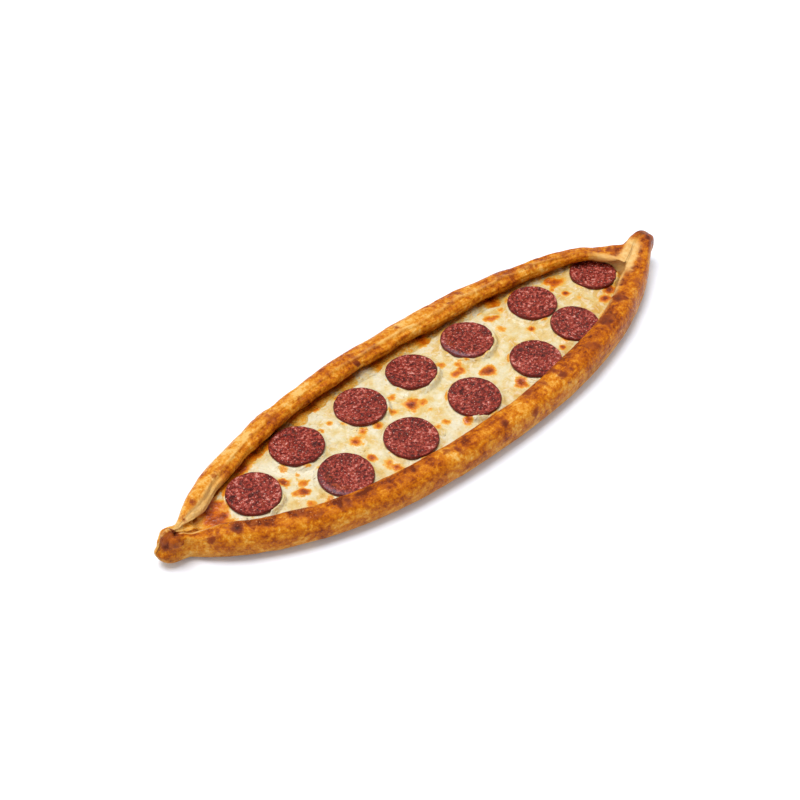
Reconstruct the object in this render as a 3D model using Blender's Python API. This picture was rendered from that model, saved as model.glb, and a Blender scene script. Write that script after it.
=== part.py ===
"""An open, boat-shaped flatbread (pide): a folded bread crust filled with melted cheese and round sausage slices.

Metres, +Z up. X runs along the boat, from the knotted tip (-X) to the upturned tip (+X). Y runs across it.
The origin is on the table, under the middle of the bread. Every cross-section of the crust is worked out
by section() from the sizes below, and the crust and the cheese are lofted through the same stations.
"""

from math import atan, cos, exp, pi, sin, sqrt

import bmesh
import bpy
from mathutils import Euler, Vector

# Driving dimensions
LEFT_END = -0.2078
RIGHT_END = 0.2078
HALF_WIDTH = 0.0610
LEFT_BOW = (0.0100, 2.6)  # how far the tip stands towards +Y of the middle, and the power the bend grows by
RIGHT_BOW = (0.0050, 2.0)
LEFT_HULL = (0.1918, 2.30, 0.63)  # where the swelling hull runs out, its roundness and its fullness
RIGHT_BACK_HULL = (0.1840, 2.10, 0.53)
RIGHT_FRONT_HULL = (0.2030, 2.30, 0.75)
LEFT_TIP = 0.0074  # half width and rounding of each tip
LEFT_TIP_ROUND = 0.0098
RIGHT_TIP = 0.0074
RIGHT_TIP_ROUND = 0.0110
LEFT_LIFT = 0.0022  # how far the underside of each tip is off the table
RIGHT_LIFT = 0.0095
BASE_THICKNESS = 0.0046
CORNER = 0.0165  # how far the rounded lower edge reaches in under the bread
RIM_HEIGHT = 0.0212
RIM_WIDTH = 0.0172
BACK_RIM_SWELL = 0.0038  # the back rim is this much wider just right of the middle
BACK_RIM_NECK = 0.0026  # and this much narrower towards the upturned tip
FRONT_RIM_SWELL = 0.0030  # the front rim is this much wider towards the upturned tip
LEFT_RIM_TAPER = 0.0075  # both rims are this much narrower where they meet at the knotted tip
PROW = 0.0042  # how far the upturned tip rises above the rim
OPENING_END = 0.1725  # where the opening is pinched shut at the upturned tip
OPENING_ROUND = 0.0080  # length over which its blunt end closes
UNDERCUT = 0.0034
END_UNDERCUT = 0.0026
SEAM_OFFSET = 0.0085  # the seam of the upturned tip starts this far towards -Y of the centre line
SEAM_HALF = 0.0006
SEAM_DEPTH = 0.0022
KNOB_PLACE = -0.1990  # the twisted knot on the left tip
KNOB_LENGTH = 0.0080
KNOB_HEIGHT = 0.0018
KNOB_WAIST = 0.0020
KNOB_SETBACK = 0.0024
CHEESE_START = -0.1795
CHEESE_END = 0.1664
CHEESE_LEVEL = 0.0092
CHEESE_CROWN = 0.0008  # the melt is this much higher along the middle than at its edges
CLEARANCE = 0.0003
SLICE_THICKNESS = 0.0030
SLICE_SIDES = 22
SLICE_EDGE = 0.0009

# Sausage slices from the knotted tip on: place along the bread, place across it, radius, extra tilt in degrees
SLICES = (
    (-0.1390, 0.0080, 0.0168, 1.0),
    (-0.0958, 0.0206, 0.0172, -1.5),
    (-0.0898, -0.0170, 0.0172, 0.5),
    (-0.0453, 0.0204, 0.0168, 0.0),
    (-0.0410, -0.0206, 0.0172, 1.0),
    (-0.0008, 0.0221, 0.0166, -1.0),
    (0.0118, -0.0212, 0.0170, 0.5),
    (0.0460, 0.0197, 0.0175, -0.5),
    (0.0650, -0.0227, 0.0170, 1.0),
    (0.1030, 0.0165, 0.0168, 0.0),
    (0.1082, -0.0166, 0.0162, 0.5),
    (0.1546, 0.0088, 0.0147, 0.0),
)

CRUST_COLOUR = (0.62, 0.28, 0.08)
CHEESE_COLOUR = (0.83, 0.73, 0.42)
SAUSAGE_COLOUR = (0.16, 0.025, 0.02)


def mix(a, b, t):
    return a + (b - a) * t


def ease(low, high, value):
    """0 below low, 1 above high, and a smooth step between them."""
    t = min(1.0, max(0.0, (value - low) / (high - low)))
    return t * t * (3 - 2 * t)


def bump(value, middle, width):
    return exp(-(((value - middle) / width) ** 2))


def waver(x, phase):
    """Hand-made unevenness between -1 and 1 along the bread."""
    return 0.5 * sin(x * 47 + phase) + 0.32 * sin(x * 101 + 2.1 * phase) + 0.18 * sin(x * 213 + 3.7 * phase)


def end_rounding(x):
    """1 along the bread, falling as a quarter circle to 0 at each end."""
    into_left = (LEFT_END + LEFT_TIP_ROUND - x) / LEFT_TIP_ROUND
    into_right = (x - RIGHT_END + RIGHT_TIP_ROUND) / RIGHT_TIP_ROUND
    return sqrt(max(0.0, 1 - max(into_left, into_right, 0.0) ** 2))


def centre_line(x):
    bow, power = LEFT_BOW if x < 0 else RIGHT_BOW
    return bow * abs(x / RIGHT_END) ** power


def half_width(x, side):
    """From the centre line to the outermost point of the crust. The side is 1 at the back and -1 in front."""
    if x < 0:
        (reach, roundness, fullness), tip = LEFT_HULL, LEFT_TIP
    else:
        (reach, roundness, fullness), tip = RIGHT_BACK_HULL if side > 0 else RIGHT_FRONT_HULL, RIGHT_TIP
    along = min(1.0, abs(x) / reach)
    hull = HALF_WIDTH * (1 - along**roundness) ** fullness
    return (hull**4 + tip**4) ** 0.25 * end_rounding(x)


def rim_width(x, side):
    wide = RIM_WIDTH + 0.0005 * waver(x, 1.7 * side) - LEFT_RIM_TAPER * ease(0.165, 0.190, -x)
    if side > 0:
        return wide + BACK_RIM_SWELL * bump(x, 0.045, 0.040) - BACK_RIM_NECK * bump(x, 0.141, 0.024)
    return wide + FRONT_RIM_SWELL * ease(0.110, 0.160, x) + 0.0008 * ease(0.10, 0.14, -x)


def opening_half(x, side):
    """From the middle of the opening to the lip, where the folded rim ends over the cheese."""
    opening = half_width(x, side) - rim_width(x, side)
    if x > OPENING_END - OPENING_ROUND:
        opening *= max(0.0, (OPENING_END - x) / OPENING_ROUND) ** 0.40
    return sqrt(max(0.0, opening) ** 2 + SEAM_HALF**2)


def seam_shift(x):
    """How far towards -Y the seam of the upturned tip is from the centre line."""
    return SEAM_OFFSET * ease(OPENING_END - 0.003, OPENING_END, x) * (1 - ease(OPENING_END, 0.191, x))


def openness(x):
    """1 where the bread lies open, 0 where both lips are pinched together in a seam."""
    return ease(0.0012, 0.0085, min(opening_half(x, -1), opening_half(x, 1)))


def underside(x):
    return LEFT_LIFT * ease(0.168, 0.203, -x) + RIGHT_LIFT * ease(0.150, 0.205, x)


def knot(x):
    return bump(x, KNOB_PLACE, KNOB_LENGTH)


def rim_top(x, side):
    rise = PROW * ease(0.172, 0.200, x) + 0.0010 * bump(x, 0.150, 0.022) + KNOB_HEIGHT * knot(x)
    neck = 0.0015 * bump(x, -0.182, 0.009)
    return RIM_HEIGHT + 0.0006 * waver(x, 4.0 + side) + rise - neck


def trough_floor(x):
    seam = SEAM_DEPTH * (1 - 0.85 * knot(x)) * (1 - 0.9 * ease(0.184, 0.200, x))
    return mix(min(rim_top(x, -1), rim_top(x, 1)) - seam, BASE_THICKNESS, openness(x))


def cheese_level(x, y):
    """Height of the melted cheese: a low crown with slow swells in it."""
    across = (y - centre_line(x)) / HALF_WIDTH
    swell = 0.00025 * sin(x * 61 + 0.8) * cos(y * 70)
    return CHEESE_LEVEL + CHEESE_CROWN * (0.5 - 2.2 * across**2) + swell


def half_section(x, side):
    """Corners of half a cross-section, from under the middle, round the rim, to the middle of the trough.

    Each is (distance from the centre line, height, how far it is pushed along X under the end of the opening).
    """
    low, top, floor = underside(x), rim_top(x, side), trough_floor(x)
    outer, open_half, open_share = half_width(x, side), opening_half(x, side), openness(x)
    trough_middle = -side * seam_shift(x)
    lip = trough_middle + open_half
    rim = outer - lip
    corner = min(CORNER, 0.66 * outer)
    middle_height = mix(low, top, 0.46)
    tuck = END_UNDERCUT * ease(0.150, 0.166, x) * (1 - ease(0.176, 0.190, x))
    points = [(0.0, low, 0.0), (outer - corner, low, 0.0)]
    for step in range(1, 9):  # the rolled outside, a quarter oval below and a quarter oval above
        turn = pi * step / 9 - pi / 2
        reach = corner if turn < 0 else 0.56 * min(rim, outer)
        rise = middle_height - low if turn < 0 else top - middle_height
        across = abs(cos(turn)) ** 0.80
        up = abs(sin(turn)) ** 0.86 * (1 if turn > 0 else -1)
        waist = KNOB_WAIST * knot(x) * bump(turn, 0.25, 0.35)
        points.append((outer - reach * (1 - across) - waist, middle_height + rise * up, 0.0))
    hollow = UNDERCUT * open_share  # how far the trough runs back under the lip
    if side > 0:
        hollow *= 1 + 1.2 * bump(x, 0.160, 0.014)
    seam_drop = top - floor if open_share == 0 else SEAM_DEPTH
    lip_drop = mix(seam_drop * 0.7, 0.0068, open_share)
    points += [
        (lip + 0.42 * rim, top, 0.0),
        (lip + 0.24 * rim, top - mix(0.2 * lip_drop, 0.0004, open_share), 0.0),
        (lip + mix(0.10, 0.07, open_share) * rim, top - mix(0.42 * lip_drop, 0.0021, open_share), 0.0),
        (lip + 0.02 * rim, top - lip_drop * 0.72, 0.2 * tuck),
        (lip + 0.03 * rim + 0.2 * hollow, top - lip_drop, 0.5 * tuck),
        (lip + 0.02 * rim + hollow, mix(top - lip_drop, floor, 0.45), tuck),
        (lip + 0.8 * hollow, mix(top - lip_drop, floor, 0.86), tuck),
        (trough_middle + max(0.55 * open_half, open_half - 0.004), floor, tuck),
        (trough_middle, floor, tuck),
    ]
    shrink = end_rounding(x)
    tip_middle = mix(low, top, 0.5)
    return [(across, mix(tip_middle, height, shrink), along) for across, height, along in points]


def section(x):
    """One closed ring of the crust, anticlockwise as seen from +X."""
    back = [(along, centre_line(x) + across, height) for across, height, along in half_section(x, 1)]
    front = [(along, centre_line(x) - across, height) for across, height, along in half_section(x, -1)]
    ring = back + front[-2:0:-1]
    setback = KNOB_SETBACK * ease(0.196, 0.206, -x)  # the knot stands back from the lobe under it
    return [Vector((x + along + setback * ease(0.010, 0.016, height), y, height)) for along, y, height in ring]


def cheese_section(x):
    """One closed ring of the cheese, which fills the trough and tucks in under both lips."""
    floor = trough_floor(x) + CLEARANCE
    middle = centre_line(x) - seam_shift(x)
    back, front = (opening_half(x, side) + 0.0032 * openness(x) - 0.0018 for side in (1, -1))
    place = x + END_UNDERCUT * ease(0.150, 0.166, x)
    top_steps = 12
    ring = [Vector((place, middle - 0.5 * front, floor)), Vector((place, middle + 0.5 * back, floor))]
    for step in range(top_steps + 1):
        share = 1 - 2 * step / top_steps
        y = middle + share * (back if share > 0 else front)
        height = max(cheese_level(x, y) - 0.0012 * abs(share) ** 8, floor + 0.0006)
        ring.append(Vector((place, y, height)))
    return ring


def stations(runs):
    """Places along the bread: each run is (from, to, how many steps), and the last end is included."""
    found = []
    for start, end, steps in runs:
        found += [mix(start, end, i / steps) for i in range(steps)]
    return found + [runs[-1][1]]


def tip_stations(end, rounding):
    """Places through the rounding of a tip, closer together towards its end."""
    return [end - rounding * (1 - cos(pi / 2 * i / 6)) for i in range(1, 7)]


def crust_places():
    """Where the crust's cross-sections stand. The cheese uses the same ones, so the gap between them holds."""
    left = tip_stations(LEFT_END, -LEFT_TIP_ROUND)
    right = tip_stations(RIGHT_END, RIGHT_TIP_ROUND)
    body = stations(
        (
            (left[-1], -0.174, 8),
            (-0.174, -0.120, 8),
            (-0.120, 0.120, 20),
            (0.120, 0.148, 4),
            (0.148, 0.164, 3),
            (0.164, 0.1732, 9),
            (0.1732, right[-1], 8),
        )
    )
    return left[:-1] + body + right[-2::-1]


def material(name, colour, roughness):
    made = bpy.data.materials.new(name)
    made.use_nodes = True
    surface = made.node_tree.nodes["Principled BSDF"]
    surface.inputs["Base Color"].default_value = (*colour, 1)
    surface.inputs["Roughness"].default_value = roughness
    return made


def finished(name, builder, finish):
    """An object made from a bmesh, with outward faces, smooth shading and its material."""
    bmesh.ops.recalc_face_normals(builder, faces=builder.faces)
    mesh = bpy.data.meshes.new(name)
    builder.to_mesh(mesh)
    builder.free()
    mesh.shade_smooth()
    mesh.set_sharp_from_angle(angle=0.7)
    mesh.materials.append(finish)
    placed = bpy.data.objects.new(name, mesh)
    bpy.context.scene.collection.objects.link(placed)
    return placed


def loft(name, rings, finish, start_pole=None, end_pole=None):
    """A closed solid through rings of equally many points, with a point or a flat cap at each end."""
    builder = bmesh.new()
    rows = [[builder.verts.new(point) for point in ring] for ring in rings]
    count = len(rows[0])
    for here, following in zip(rows, rows[1:]):
        for i in range(count):
            j = (i + 1) % count
            builder.faces.new((here[i], here[j], following[j], following[i]))
    for row, pole in ((rows[0], start_pole), (rows[-1], end_pole)):
        if pole is None:
            builder.faces.new(row)
            continue
        point = builder.verts.new(pole)
        for i in range(count):
            builder.faces.new((row[i], row[(i + 1) % count], point))
    return finished(name, builder, finish)


def build_crust(finish):
    poles = []
    for end in (LEFT_END, RIGHT_END):
        height = 0.5 * (underside(end) + rim_top(end, 1))
        setback = KNOB_SETBACK * ease(0.010, 0.016, height) if end < 0 else 0.0
        poles.append(Vector((end + setback, centre_line(end), height)))
    rings = [section(x) for x in crust_places() if end_rounding(x) > 0.01]
    return loft("crust", rings, finish, *poles)


def build_cheese(finish):
    rings = [cheese_section(x) for x in crust_places() if CHEESE_START < x < CHEESE_END]
    return loft("cheese", rings, finish)


def build_slice(number, x, y, radius, tilt, finish):
    """A round slice with a softened upper edge, lying on the cheese at the slope of the melt under it."""
    builder = bmesh.new()
    levels = (
        (radius - 0.0002, 0.0),
        (radius, SLICE_THICKNESS - SLICE_EDGE),
        (radius - SLICE_EDGE, SLICE_THICKNESS),
    )
    turns = [2 * pi * i / SLICE_SIDES for i in range(SLICE_SIDES)]
    rows = [[builder.verts.new((reach * cos(t), reach * sin(t), height)) for t in turns] for reach, height in levels]
    for here, above in zip(rows, rows[1:]):
        for i in range(SLICE_SIDES):
            j = (i + 1) % SLICE_SIDES
            builder.faces.new((here[i], here[j], above[j], above[i]))
    builder.faces.new(rows[0][::-1])
    builder.faces.new(rows[-1])
    placed = finished(f"sausage_{number:02d}", builder, finish)
    reach = 0.7 * radius
    slope_x = (cheese_level(x + reach, y) - cheese_level(x - reach, y)) / (2 * reach)
    slope_y = (cheese_level(x, y + reach) - cheese_level(x, y - reach)) / (2 * reach) + tilt * pi / 180
    highest = 0.0  # how far the slice has to be raised to clear the melt everywhere under it
    for i in range(144):
        turn = 2 * pi * i / 24
        out = radius * (1 + i // 24) / 6
        dx, dy = out * cos(turn), out * sin(turn)
        highest = max(highest, cheese_level(x + dx, y + dy) - slope_x * dx - slope_y * dy)
    placed.rotation_euler = Euler((atan(slope_y), -atan(slope_x), 0))
    placed.location = (x, y, highest + CLEARANCE)
    return placed


def main():
    for leftover in list(bpy.data.objects):
        bpy.data.objects.remove(leftover)
    baked_dough = material("baked dough", CRUST_COLOUR, 0.45)
    melted_cheese = material("melted cheese", CHEESE_COLOUR, 0.35)
    sausage = material("cured sausage", SAUSAGE_COLOUR, 0.38)
    build_crust(baked_dough)
    build_cheese(melted_cheese)
    for number, (x, y, radius, tilt) in enumerate(SLICES, start=1):
        build_slice(number, x, y, radius, tilt, sausage)


main()
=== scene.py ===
from math import pi, radians

import bpy
import numpy as np
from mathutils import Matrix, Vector


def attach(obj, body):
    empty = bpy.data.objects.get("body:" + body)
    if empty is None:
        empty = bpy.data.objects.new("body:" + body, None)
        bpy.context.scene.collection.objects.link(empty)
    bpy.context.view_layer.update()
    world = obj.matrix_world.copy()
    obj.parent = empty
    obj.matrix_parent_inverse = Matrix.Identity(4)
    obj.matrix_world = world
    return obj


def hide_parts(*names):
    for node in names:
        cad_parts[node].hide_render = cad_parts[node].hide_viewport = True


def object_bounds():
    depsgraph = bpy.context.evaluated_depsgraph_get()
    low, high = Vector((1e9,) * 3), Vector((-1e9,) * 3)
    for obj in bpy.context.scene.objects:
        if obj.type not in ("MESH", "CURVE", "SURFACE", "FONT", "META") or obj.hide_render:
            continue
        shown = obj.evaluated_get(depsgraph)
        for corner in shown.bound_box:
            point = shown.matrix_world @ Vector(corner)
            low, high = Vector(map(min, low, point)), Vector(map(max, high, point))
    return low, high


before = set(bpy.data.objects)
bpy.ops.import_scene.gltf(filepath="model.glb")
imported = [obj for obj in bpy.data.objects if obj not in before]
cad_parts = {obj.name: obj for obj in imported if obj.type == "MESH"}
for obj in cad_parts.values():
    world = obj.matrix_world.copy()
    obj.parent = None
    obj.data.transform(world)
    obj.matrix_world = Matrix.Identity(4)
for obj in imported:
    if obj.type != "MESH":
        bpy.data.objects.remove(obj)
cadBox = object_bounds()
mm = 0.001
print("frame loaded")


def mix(a, b, t):
    return a + (b - a) * t


def ease(low, high, value):
    t = np.clip((value - low) / (high - low), 0.0, 1.0)
    return t * t * (3 - 2 * t)


def bump(value, middle, width):
    return np.exp(-(((value - middle) / width) ** 2))


def latticeNoise(points, size, seed):  # smooth noise from -1 to 1, with lumps about as wide as size
    lattice = np.random.default_rng(seed).uniform(-1, 1, (24, 24, 24))
    where = points / size
    cell = np.floor(where).astype(int)
    part = where - cell
    part = part * part * (3 - 2 * part)
    total = 0.0
    for corner in range(8):
        step = np.array([corner & 1, corner >> 1 & 1, corner >> 2 & 1])
        index = (cell + step) % 24
        weight = np.prod(np.where(step, part, 1 - part), axis=-1)
        total = total + weight * lattice[index[..., 0], index[..., 1], index[..., 2]]
    return total


def roughNoise(points, size, seed, layers=3):
    total, share = 0.0, 1.0
    for layer in range(layers):
        total = total + share * latticeNoise(points, size / 2**layer, seed + layer)
        share *= 0.5
    return total / (2 - 2 * share)


def linear(hexColour):  # an sRGB hex colour as the linear colour that the shader works in
    channels = [int(hexColour[i : i + 2], 16) / 255 for i in (1, 3, 5)]
    return [c / 12.92 if c <= 0.04045 else ((c + 0.055) / 1.055) ** 2.4 for c in channels] + [1.0]


def add(tree, kind, inputs=None, give=None, stops=(), **settings):
    # adds a node with its settings, values, colour stops and links, and hands back the output that give names
    node = tree.nodes.new(kind)
    for name, value in settings.items():
        setattr(node, name, value)
    for name, value in (inputs or {}).items():
        socket = node.inputs[name]
        if isinstance(value, bpy.types.NodeSocket):
            tree.links.new(value, socket)
        else:
            socket.default_value = value
    if stops:
        elements = node.color_ramp.elements
        while len(elements) < len(stops):
            elements.new(0.5)
        for element, (position, colour) in zip(elements, stops):
            element.position = position
            element.color = linear(colour)
    return node if give is None else node.outputs[give]


def meshPiece(name, points, faces, attributes, material):
    mesh = bpy.data.meshes.new(name)
    mesh.from_pydata(points.tolist(), [], faces)
    for label, values in attributes.items():
        kind, field = ("FLOAT", "value") if values.ndim == 1 else ("FLOAT_VECTOR", "vector")
        mesh.attributes.new(label, kind, "POINT").data.foreach_set(field, values.astype(np.float32).ravel())
    mesh.shade_smooth()
    mesh.materials.append(material)
    piece = bpy.data.objects.new(name, mesh)
    bpy.context.scene.collection.objects.link(piece)
    return piece


def loftFaces(rows, columns):  # faces of a closed skin over rows of rings, with a pole vertex at each end
    first, last = rows * columns, rows * columns + 1
    faces = []
    for row in range(rows - 1):
        here, following = row * columns, (row + 1) * columns
        for i in range(columns):
            j = (i + 1) % columns
            faces.append((here + i, here + j, following + j, following + i))
    end = (rows - 1) * columns
    for i in range(columns):
        j = (i + 1) % columns
        faces.append((i, first, j))
        faces.append((end + i, end + j, last))
    return faces


def gridNormals(rings):  # outward directions of a lofted skin, rings going anticlockwise as seen from +X
    around = np.roll(rings, -1, axis=1) - np.roll(rings, 1, axis=1)
    along = np.gradient(rings, axis=0)
    normals = np.cross(around, along)
    return normals / np.maximum(np.linalg.norm(normals, axis=-1, keepdims=True), 1e-12)


# The bread: the same sizes as its solid
bread = {
    "leftEnd": -0.2078,
    "rightEnd": 0.2078,
    "halfWidth": 0.0610,
    "leftBow": (0.0100, 2.6),
    "rightBow": (0.0050, 2.0),
    "leftHull": (0.1918, 2.30, 0.63),
    "rightBackHull": (0.1840, 2.10, 0.53),
    "rightFrontHull": (0.2030, 2.30, 0.75),
    "leftTip": (0.0074, 0.0098),  # half width and rounding
    "rightTip": (0.0074, 0.0110),
    "lift": (0.0022, 0.0095),  # underside of the left and the right tip off the table
    "base": 0.0046,
    "corner": 0.0165,
    "rimHeight": 0.0212,
    "rimWidth": 0.0172,
    "rimSwell": (0.0038, 0.0030),  # back and front
    "rimNeck": 0.0026,
    "rimTaper": 0.0075,
    "prow": 0.0042,
    "openingEnd": 0.1700,
    "openingRound": 0.0095,
    "undercut": 0.0034,
    "endUndercut": 0.0026,
    "seamOffset": 0.0079,
    "seamSlope": 0.42,
    "seamHalf": 0.0006,
    "seamDepth": 0.0008,
    "knob": (-0.1990, 0.0080, 0.0018, 0.0020, 0.0024),  # place, length, height, waist, setback
}


def waver(x, phase):
    waves = ((0.50, 47, 1.0), (0.32, 101, 2.1), (0.18, 213, 3.7))  # share, pace and shift of each
    return sum(share * np.sin(x * pace + shift * phase) for share, pace, shift in waves)


def endRounding(x):
    intoLeft = (bread["leftEnd"] + bread["leftTip"][1] - x) / bread["leftTip"][1]
    intoRight = (x - bread["rightEnd"] + bread["rightTip"][1]) / bread["rightTip"][1]
    return np.sqrt(np.maximum(0.0, 1 - np.maximum(np.maximum(intoLeft, intoRight), 0.0) ** 2))


def centreLine(x):
    along = np.abs(x / bread["rightEnd"])
    leftBow, rightBow = bread["leftBow"], bread["rightBow"]
    return np.where(x < 0, leftBow[0] * along ** leftBow[1], rightBow[0] * along ** rightBow[1])


def halfWidth(x, side):
    def hull(sizes, tip):
        reach, roundness, fullness = sizes
        swell = bread["halfWidth"] * (1 - np.minimum(1.0, np.abs(x) / reach) ** roundness) ** fullness
        return (swell**4 + tip**4) ** 0.25

    right = bread["rightBackHull"] if side > 0 else bread["rightFrontHull"]
    wide = np.where(x < 0, hull(bread["leftHull"], bread["leftTip"][0]), hull(right, bread["rightTip"][0]))
    return wide * endRounding(x)


def rimWidth(x, side):
    wide = bread["rimWidth"] + 0.0005 * waver(x, 1.7 * side) - bread["rimTaper"] * ease(0.165, 0.190, -x)
    wide = wide - 0.0034 * ease(0.181, 0.191, -x)
    if side > 0:
        return wide + bread["rimSwell"][0] * bump(x, 0.045, 0.040) - bread["rimNeck"] * bump(x, 0.141, 0.024)
    return wide + bread["rimSwell"][1] * ease(0.110, 0.160, x) + 0.0008 * ease(0.10, 0.14, -x)


def frontEdge(x):  # how far the front lip, and the seam that carries it on, lies from the centre line
    opening = np.maximum(0.0, halfWidth(x, -1) - rimWidth(x, -1)) * ease(-0.1945, -0.1895, x)
    seam = bread["seamOffset"] - bread["seamSlope"] * (x - bread["openingEnd"])
    return np.where(x > 0.1, mix(opening, np.maximum(seam, -0.0020), ease(0.158, 0.168, x)), opening)


def seamShift(x):
    closed = 1 - np.clip((bread["openingEnd"] - x) / bread["openingRound"], 0.0, 1.0) ** 0.40
    back = np.maximum(0.0, halfWidth(x, 1) - rimWidth(x, 1))
    middle = 0.5 * (frontEdge(x) - mix(back, -frontEdge(x), closed))
    return middle * ease(0.145, 0.160, x)


def openingHalf(x, side):
    closed = 1 - np.clip((bread["openingEnd"] - x) / bread["openingRound"], 0.0, 1.0) ** 0.40
    if side > 0:
        opening = np.maximum(0.0, halfWidth(x, 1) - rimWidth(x, 1)) * ease(-0.1945, -0.1895, x)
        opening = mix(opening, -frontEdge(x), closed) + seamShift(x)
    else:
        opening = frontEdge(x) - seamShift(x)
    return np.sqrt(np.maximum(opening, 0.0) ** 2 + bread["seamHalf"] ** 2)


def openness(x):
    return ease(0.0012, 0.0085, np.minimum(openingHalf(x, -1), openingHalf(x, 1)))


def underside(x):
    return bread["lift"][0] * ease(0.168, 0.203, -x) + bread["lift"][1] * ease(0.150, 0.205, x)


def knot(x):
    return bump(x, bread["knob"][0], bread["knob"][1])


def rimTop(x, side):
    rise = bread["prow"] * ease(0.172, 0.200, x) + 0.0010 * bump(x, 0.150, 0.022) + bread["knob"][2] * knot(x)
    dip = 0.0015 * bump(x, -0.182, 0.009) if side > 0 else 0.0032 * bump(x, -0.186, 0.0075)
    return bread["rimHeight"] + 0.0006 * waver(x, 4.0 + side) + rise - dip


def troughFloor(x):
    seam = bread["seamDepth"] * (1 - ease(0.186, 0.193, -x)) * (1 - ease(0.182, 0.191, x))
    return mix(np.minimum(rimTop(x, -1), rimTop(x, 1)) - seam, bread["base"], openness(x))


def halfSection(x, side):  # (distance from the centre line, height, push along X) round half a section
    low, top, floor = underside(x), rimTop(x, side), troughFloor(x)
    outer, openHalf, openShare = halfWidth(x, side), openingHalf(x, side), openness(x)
    middle = -side * seamShift(x)
    lip = middle + openHalf
    rim = outer - lip
    corner = np.minimum(bread["corner"], 0.66 * outer)
    waistHeight = mix(low, top, 0.46)
    tuck = bread["endUndercut"] * ease(0.150, 0.166, x) * (1 - ease(0.176, 0.190, x))
    none = 0 * x
    points = [(none, low, none), (outer - corner, low, none)]
    for step in range(1, 9):
        turn = pi * step / 9 - pi / 2
        reach = corner if turn < 0 else 0.56 * np.minimum(rim, outer)
        rise = waistHeight - low if turn < 0 else top - waistHeight
        across = abs(np.cos(turn)) ** 0.80
        up = abs(np.sin(turn)) ** 0.86 * (1 if turn > 0 else -1)
        waist = bread["knob"][3] * knot(x) * bump(turn, 0.25, 0.35)
        points.append((outer - reach * (1 - across) - waist, waistHeight + rise * up, none))
    hollow = bread["undercut"] * openShare
    if side > 0:
        hollow = hollow * (1 + 1.2 * bump(x, 0.160, 0.014))
    seamDrop = np.where(openShare == 0, top - floor, bread["seamDepth"])
    lipDrop = mix(seamDrop * 0.7, 0.0068, openShare)
    slant = ease(0.135, 0.172, -x) * openShare if side > 0 else none
    shoulder = top - mix(0.2 * lipDrop, 0.0004, openShare) - 0.0010 * slant
    brow = top - mix(0.42 * lipDrop, 0.0021, openShare) - 0.0022 * slant
    points += [
        (lip + 0.42 * rim, top, none),
        (lip + 0.24 * rim, shoulder, none),
        (lip + mix(0.10, 0.07, openShare) * rim, brow, none),
        (lip + 0.02 * rim, top - lipDrop * 0.72 - 0.0020 * slant, 0.2 * tuck),
        (lip + 0.03 * rim + 0.2 * hollow, top - lipDrop, 0.5 * tuck),
        (lip + 0.02 * rim + hollow, mix(top - lipDrop, floor, 0.45), tuck),
        (lip + 0.8 * hollow, mix(top - lipDrop, floor, 0.86), tuck),
        (middle + np.maximum(0.55 * openHalf, openHalf - 0.004), floor, tuck),
        (middle, floor, tuck),
    ]
    tipMiddle = mix(low, top, 0.5)
    return [(across, mix(tipMiddle, height, endRounding(x)), along) for across, height, along in points]


def sectionRings(x):  # the rings of corners, one for each place along the bread
    corners = [(along, centreLine(x) + across, height) for across, height, along in halfSection(x, 1)]
    front = [(along, centreLine(x) - across, height) for across, height, along in halfSection(x, -1)]
    corners += front[-2:0:-1]
    setback = bread["knob"][4] * ease(0.196, 0.206, -x)
    rings = []
    for along, y, height in corners:
        rings.append(np.stack([x + along + setback * ease(0.010, 0.016, height), y, height], -1))
    return np.stack(rings, axis=1)


def smoothRings(rings, shares):  # runs a smooth curve through each ring's corners
    count = rings.shape[1]
    rows, places = [], []
    for i, steps in enumerate(shares):
        a, b, c, d = (rings[:, (i + k) % count] for k in (-1, 0, 1, 2))
        for step in range(steps):
            t = step / steps
            curve = 2 * b + (c - a) * t + (2 * a - 5 * b + 4 * c - d) * t**2 + (3 * b - a - 3 * c + d) * t**3
            rows.append(0.5 * curve)
            places.append(i + t)
    return np.stack(rows, axis=1), np.array(places)


def placesAlong(count, ends):  # places along the bread, closer together in the tips
    share = np.linspace(0, 1, count)
    eased = share - 0.055 * np.sin(2 * pi * share) / pi
    return mix(*ends, eased)


crust = {
    "stations": 528,
    "lumpHeight": 0.00034,  # slow lumps left by the hands
    "lumpSize": 0.017,
    "skinHeight": 0.00012,  # the baked skin's small puckers
    "skinSize": 0.0042,
    "creaseDepth": 0.00055,  # where the folded dough meets itself along the rim
    "folds": (  # place round the section, and where each starts and ends along the bread
        (8.4, 0.0, 0.14),
        (9.3, 0.05, 0.17),
        (7.4, 0.08, 0.175),
        (12.0, 0.02, 0.10),
        (8.9, -0.13, -0.05),
    ),
    "blisterHeight": 0.00050,
    "wrinkleDepth": 0.00032,  # slanting wrinkles across the back rim
    "lipWave": 0.0010,  # how far the back lip wanders in and out
    "overhang": 0.0015,  # how far the front lip leans in over the right-hand slices
}
knob = {
    "place": (-0.1990, 0.0046),
    "reach": (0.0066, 0.0086),
    "lumps": ((-0.1996, 0.0090, 0.0054), (-0.1984, 0.0012, 0.0060)),  # place along and across, radius
    "rise": 0.0016,
    "cleft": 0.0012,
    "crease": 0.0012,
}
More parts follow.
